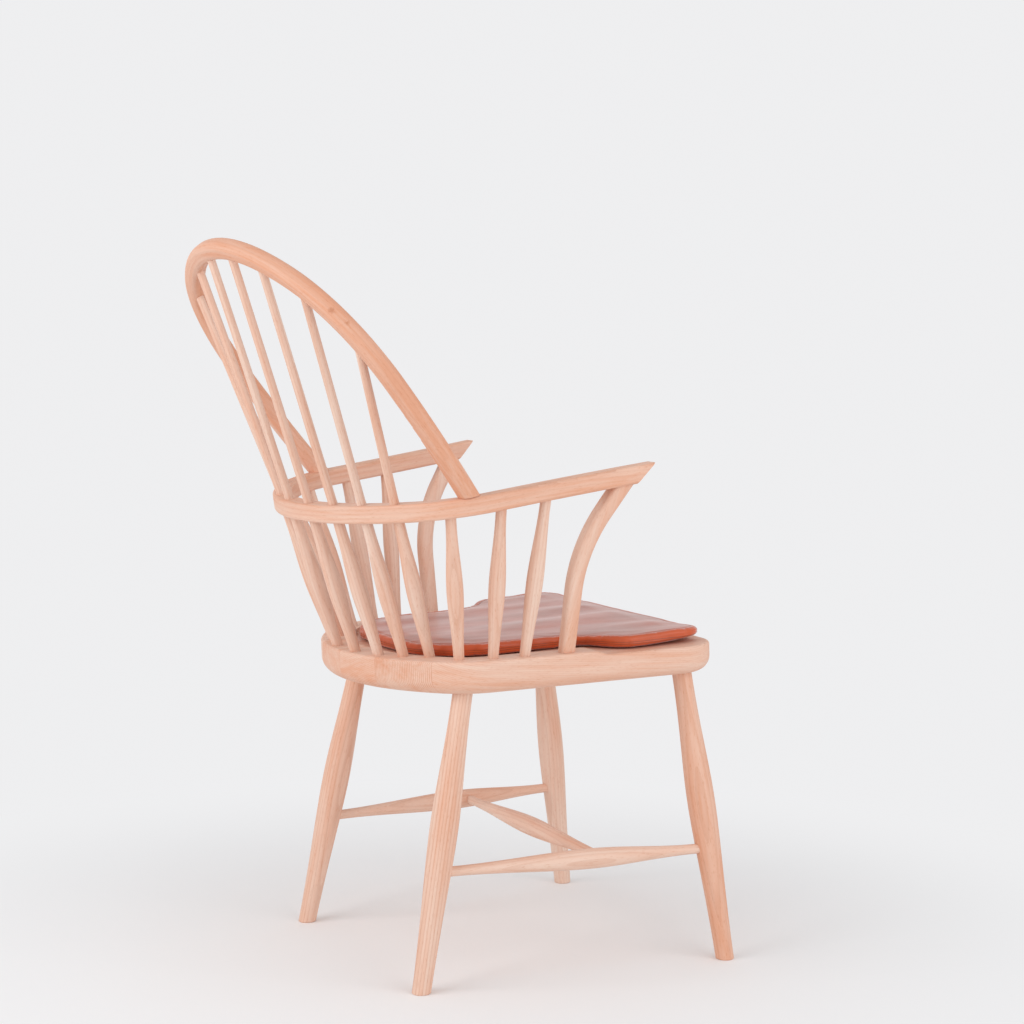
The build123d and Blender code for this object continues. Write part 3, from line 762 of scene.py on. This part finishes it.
def sew_pad(pad, settings, base, up):
    """Let the edge out, draw the seam in, raise soft waves, square the edge and lay the underside flat."""
    mesh = pad.data
    points = points_of(mesh)
    facing = normals_of(mesh)
    height = (points - base) @ up
    level = facing @ up
    side = 1 - np.abs(level)
    top = smooth_step(level, *TOP_RANGE)
    on_rim = (np.abs(height - settings.seam_height) < settings.mesh_size / 2) & (side > RIM_SIDE)
    inset, along = follow_edge(points, points[on_rim])
    keep_values(mesh, "edge_inset", inset)
    keep_values(mesh, "edge_along", along)

    waves = soft_noise(points, *WAVES) + RIPPLE_SHARE * soft_noise(points, *RIPPLES)
    rise = waves * settings.wave_height * smooth_step(inset, *WAVE_RANGE)
    rise = rise - STITCH_SINK * bell(inset, settings.stitch_inset, STITCH_WIDTH)
    groove = bell(height, settings.seam_height, SEAM_WIDTH) * side
    pucker = soft_noise(points, *PUCKERS) * PUCKER_DEPTH * side
    outwards = settings.let_out * smooth_step(side, *SIDE_RANGE) - groove * settings.seam_depth - pucker
    flat = facing - np.outer(level, up)
    flat = flat / np.maximum(np.linalg.norm(flat, axis=1, keepdims=True), NO_SLOPE)
    points = points + np.outer(rise * top, up) + flat * outwards[:, None]

    height = (points - base) @ up
    over = height - settings.seam_height
    square = np.where(over > 0, UPPER_SQUARE, LOWER_SQUARE) * np.exp(-inset / settings.edge_reach)
    lift = np.maximum(over * square, -height)
    points = points + np.outer(lift, up)
    move_points(mesh, shape_ears(points, settings, base, up))


def shape_ears(points, settings, base, up):
    """Close up and tuck in the notches behind the two ears, and draw out and curl up the front corners."""
    side, out, back = np.sign(points[:, 0]), np.abs(points[:, 0]), points[:, 1]
    low, high = points.min(0), points.max(0)
    ear = (high[0] - low[0]) / 2
    length = high[1] - low[1]
    notch = low[1] + NOTCH_PLACE * length
    corner = low[1] + CORNER_PLACE * length
    seams_up = (points - base) @ up / settings.seam_height
    under = smooth_step(seams_up, UNDER_TOP, UNDER_FOOT)
    waist = smooth_step(out, ear * WAIST_START, ear * WAIST_END)
    ahead = bell(back, notch, AHEAD_WIDTH) * waist * smooth_step(out, ear * AHEAD_END, ear * EAR_ROOT)
    behind = bell(back, corner, BEHIND_WIDTH) * smooth_step(out, ear * EAR_ROOT, ear)
    tuck = bell(back, notch, TUCK_WIDTH) * waist * under
    reach = np.hypot(ear - out, back - low[1])
    tip = bell(reach, 0, TIP_WIDTH)
    lift = smooth_step(out, ear * WAIST_END, ear) * smooth_step(back, corner, low[1]) * settings.curl
    lift = lift + bell(reach, 0, CURL_WIDTH) * under * settings.curl
    points = points + np.outer(lift, up)
    points[:, 0] += side * (tip * settings.corner_pull * TIP_OUT - tuck * settings.notch_tuck)
    points[:, 1] += (behind - ahead) * settings.notch_shift - tip * settings.corner_pull * TIP_FORWARD
    return points


def leather(settings, base, tilt):
    """Cognac leather: fine pebble grain, soft tone changes, a top painted darker as shade, a dark seam and a
    stitched line by the edge.
    """
    material = bpy.data.materials.new("Cognac leather")
    material.use_nodes = True
    tree = material.node_tree
    shader = tree.nodes["Principled BSDF"]
    place = seen_from(tree, base, (tilt, 0, 0))
    tone = noise_on(tree, scaled(tree, place, LEATHER_DRAW), TONE_SCALE, 4.0)
    worn = fade(tree, tone, *WORN_RANGE)
    height = add_node(tree, "ShaderNodeSeparateXYZ", Vector=place).outputs["Z"]
    off_seam = figure_out(tree, "ABSOLUTE", figure_out(tree, "SUBTRACT", height, settings.seam_height))
    off_welt = figure_out(tree, "ABSOLUTE", figure_out(tree, "SUBTRACT", off_seam, settings.welt / 2))
    seam = fade(tree, off_welt, *SEAM_RANGE)
    inset = add_node(tree, "ShaderNodeAttribute", attribute_name="edge_inset").outputs["Fac"]
    along = add_node(tree, "ShaderNodeAttribute", attribute_name="edge_along").outputs["Fac"]
    upper = fade(tree, height, settings.seam_height, settings.seam_height + UPPER_RISE)
    off_line = figure_out(tree, "ABSOLUTE", figure_out(tree, "SUBTRACT", inset, settings.stitch_inset))
    line = figure_out(tree, "MULTIPLY", fade(tree, off_line, *LINE_RANGE), upper)
    beat = figure_out(tree, "PINGPONG", along, settings.stitch_pitch / 2)
    thread = fade(tree, beat, settings.stitch_pitch * THREAD_START, settings.stitch_pitch * THREAD_FULL)
    stitch = figure_out(tree, "MULTIPLY", fade(tree, off_line, *THREAD_RANGE), thread)
    stitch = figure_out(tree, "MULTIPLY", stitch, upper)
    pebble = add_node(
        tree, "ShaderNodeTexVoronoi", feature="SMOOTH_F1", Vector=place, Scale=PEBBLE_SCALE, Smoothness=0.6
    )
    wrinkle = noise_on(tree, scaled(tree, place, WRINKLE_DRAW), WRINKLE_SCALE, 4.0)
    creased = fade(tree, wrinkle, *CREASE_RANGE)
    # Painted shade: the top, away from the edge, is painted darker than the sides
    painted_top_shade = figure_out(tree, "MULTIPLY", fade(tree, inset, *TOP_SHADE_RANGE), upper)
    dark = figure_out(tree, "MULTIPLY", worn, WORN_DARK)
    dark = figure_out(tree, "MULTIPLY_ADD", creased, CREASE_DARK, dark)
    dark = figure_out(tree, "MULTIPLY_ADD", painted_top_shade, TOP_PAINTED_SHADE, dark)
    sewn = figure_out(tree, "MAXIMUM", seam, line)
    dark = figure_out(tree, "MULTIPLY_ADD", sewn, SEAM_DARK, dark, clamp=True)
    colour = mixed(tree, dark, opaque(settings.leather), opaque(settings.crease))
    sewn_over = figure_out(tree, "MULTIPLY", stitch, STITCH_STRENGTH)
    colour = mixed(tree, sewn_over, colour, opaque(settings.leather))
    feed(tree, colour, shader.inputs["Base Color"])
    rough = figure_out(tree, "MULTIPLY_ADD", wrinkle, WRINKLE_ROUGHNESS, LEATHER_ROUGHNESS)
    feed(tree, rough, shader.inputs["Roughness"])
    relief = figure_out(tree, "MULTIPLY_ADD", wrinkle, WRINKLE_RELIEF, pebble.outputs["Distance"])
    relief = figure_out(tree, "MULTIPLY_ADD", line, LINE_RELIEF, relief)
    relief = figure_out(tree, "MULTIPLY_ADD", stitch, STITCH_RELIEF, relief)
    bump = add_node(tree, "ShaderNodeBump", Height=relief, **LEATHER_BUMP)
    feed(tree, bump.outputs["Normal"], shader.inputs["Normal"])
    shader.inputs["Specular IOR Level"].default_value = LEATHER_SPECULAR
    shader.inputs["Sheen Weight"].default_value = LEATHER_SHEEN
    shader.inputs["Sheen Roughness"].default_value = SHEEN_ROUGHNESS
    return material


class WINDSOR_OT_pad(bpy.types.Operator):
    """Make the stuffed leather pad that lies loose on the seat"""

    bl_idname = "windsor.pad"
    bl_label = "Make seat pad"

    def execute(self, context):
        settings = context.scene.windsor_pad
        base, up = resting_plane(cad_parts["pad_bottom_panel"])
        tilt = -float(np.arctan2(up[1], up[2]))
        pad = blank_pad()
        pad.data.remesh_voxel_size = settings.mesh_size
        bpy.ops.object.voxel_remesh()
        if len(pad.data.vertices) < FEWEST_POINTS:
            raise RuntimeError("the pad's mesh was lost in its remesh")
        stuff_pad(pad, settings)
        apply_modifier(pad, "SUBSURF", levels=1, render_levels=1)
        sew_pad(pad, settings, base, up)
        bpy.ops.object.shade_smooth()
        pad.data.materials.append(leather(settings, base, tilt))
        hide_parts(*PAD_NODES)
        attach(pad, "root")
        return {"FINISHED"}


def looked_at(tree):
    """1 where a surface is looked at, straight or in a reflection, and 0 where it only gives light."""
    seen = tree.nodes.new("ShaderNodeLightPath").outputs
    straight = figure_out(tree, "MAXIMUM", seen["Is Camera Ray"], seen["Is Glossy Ray"])
    return figure_out(tree, "MAXIMUM", straight, seen["Is Transmission Ray"])


def make_floor(studio):
    """Round pale floor that takes the chair's shadow and melts into the backdrop far out."""
    bpy.ops.object.select_all(action="DESELECT")
    bpy.ops.mesh.primitive_circle_add(vertices=FLOOR_SIDES, radius=studio.floor_radius, fill_type="NGON")
    floor = bpy.context.object
    floor.name = "floor"
    material = bpy.data.materials.new("Pale floor")
    material.use_nodes = True
    tree = material.node_tree
    shader = tree.nodes["Principled BSDF"]
    shader.inputs["Base Color"].default_value = opaque(studio.floor)
    shader.inputs["Roughness"].default_value = FLOOR_ROUGHNESS
    shader.inputs["Specular IOR Level"].default_value = FLOOR_SPECULAR
    glow = add_node(tree, "ShaderNodeEmission", Color=opaque(studio.backdrop), Strength=1.0)
    place = tree.nodes.new("ShaderNodeTexCoord").outputs["Object"]
    length = add_node(tree, "ShaderNodeVectorMath", operation="LENGTH", Vector=place).outputs["Value"]
    far = figure_out(tree, "MULTIPLY", fade(tree, length, *FLOOR_RANGE), looked_at(tree))
    blend = tree.nodes.new("ShaderNodeMixShader")
    feed(tree, far, blend.inputs[0])
    feed(tree, shader.outputs["BSDF"], blend.inputs[1])
    feed(tree, glow.outputs["Emission"], blend.inputs[2])
    feed(tree, blend.outputs["Shader"], tree.nodes["Material Output"].inputs["Surface"])
    floor.data.materials.append(material)


def light_world(studio):
    """Even pale surroundings: the backdrop's colour where they are seen, a plain level where they light."""
    world = bpy.data.worlds.new("Studio")
    bpy.context.scene.world = world
    world.use_nodes = True
    tree = world.node_tree
    strength = figure_out(tree, "MULTIPLY_ADD", looked_at(tree), 1.0 - studio.sky, studio.sky)
    background = tree.nodes["Background"]
    background.inputs["Color"].default_value = opaque(studio.backdrop)
    feed(tree, strength, background.inputs["Strength"])


def aim(thing, place, target):
    """Put a lamp or the camera at a place and turn it to a target."""
    thing.location = place
    thing.rotation_euler = (target - place).to_track_quat("-Z", "Y").to_euler()


def add_lamp(name, power, size, place, target):
    """Large soft lamp."""
    lamp = bpy.data.lights.new(name, "AREA")
    lamp.energy = power
    lamp.size = size
    holder = bpy.data.objects.new(name, lamp)
    bpy.context.collection.objects.link(holder)
    aim(holder, place, target)


class WINDSOR_OT_studio(bpy.types.Operator):
    """Set the floor, the soft light and the camera at the photograph's angle"""

    bl_idname = "windsor.studio"
    bl_label = "Set studio"

    def execute(self, context):
        scene = context.scene
        studio = scene.windsor_studio
        make_floor(studio)
        light_world(studio)
        turn, lift = studio.azimuth, studio.elevation
        back = Vector((sin(turn) * cos(lift), -cos(turn) * cos(lift), sin(lift)))
        right = Vector((cos(turn), sin(turn), 0))
        axes = Matrix((right, back, (0, 0, 1))).transposed()
        target = Vector(studio.target)
        add_lamp("key", studio.key, KEY_SIZE, target + axes @ KEY_PLACE, target)
        add_lamp("fill", studio.fill, FILL_SIZE, target + axes @ FILL_PLACE, target)
        lens = bpy.data.cameras.new("camera")
        lens.lens = studio.lens
        camera = bpy.data.objects.new("camera", lens)
        context.collection.objects.link(camera)
        aim(camera, target + back * studio.distance, target)
        scene.camera = camera
        scene.view_settings.view_transform = "Standard"
        return {"FINISHED"}


class WINDSOR_PT_sidebar(bpy.types.Panel):
    """Lists the steps that finish the chair"""

    bl_idname = "WINDSOR_PT_sidebar"
    bl_label = "Windsor Armchair"
    bl_space_type = "VIEW_3D"
    bl_region_type = "UI"
    bl_category = "Windsor"

    def draw(self, context):
        for step in STEPS:
            self.layout.operator(f"windsor.{step}")


SETTINGS = {
    "windsor_wood": WoodFinish,
    "windsor_arm": ArmFinish,
    "windsor_hoop": HoopFinish,
    "windsor_seat": SeatFinish,
    "windsor_pad": PadFinish,
    "windsor_studio": StudioSetup,
}
CLASSES = (
    WoodFinish,
    ArmFinish,
    HoopFinish,
    SeatFinish,
    PadFinish,
    StudioSetup,
    WINDSOR_OT_turned,
    WINDSOR_OT_arm_bow,
    WINDSOR_OT_hoop,
    WINDSOR_OT_seat,
    WINDSOR_OT_pad,
    WINDSOR_OT_studio,
    WINDSOR_PT_sidebar,
)


def register():
    """Register the classes and hang their settings on the scene."""
    for kind in CLASSES:
        bpy.utils.register_class(kind)
    for name, kind in SETTINGS.items():
        setattr(bpy.types.Scene, name, bpy.props.PointerProperty(type=kind))


def unregister():
    """Take the settings and the classes away again."""
    for name in SETTINGS:
        delattr(bpy.types.Scene, name)
    for kind in reversed(CLASSES):
        bpy.utils.unregister_class(kind)


def main():
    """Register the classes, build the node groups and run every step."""
    register()
    wood_figure()
    bent_grain()
    glued_boards()
    for step in STEPS:
        getattr(bpy.ops.windsor, step)()


if __name__ == "__main__":
    main()
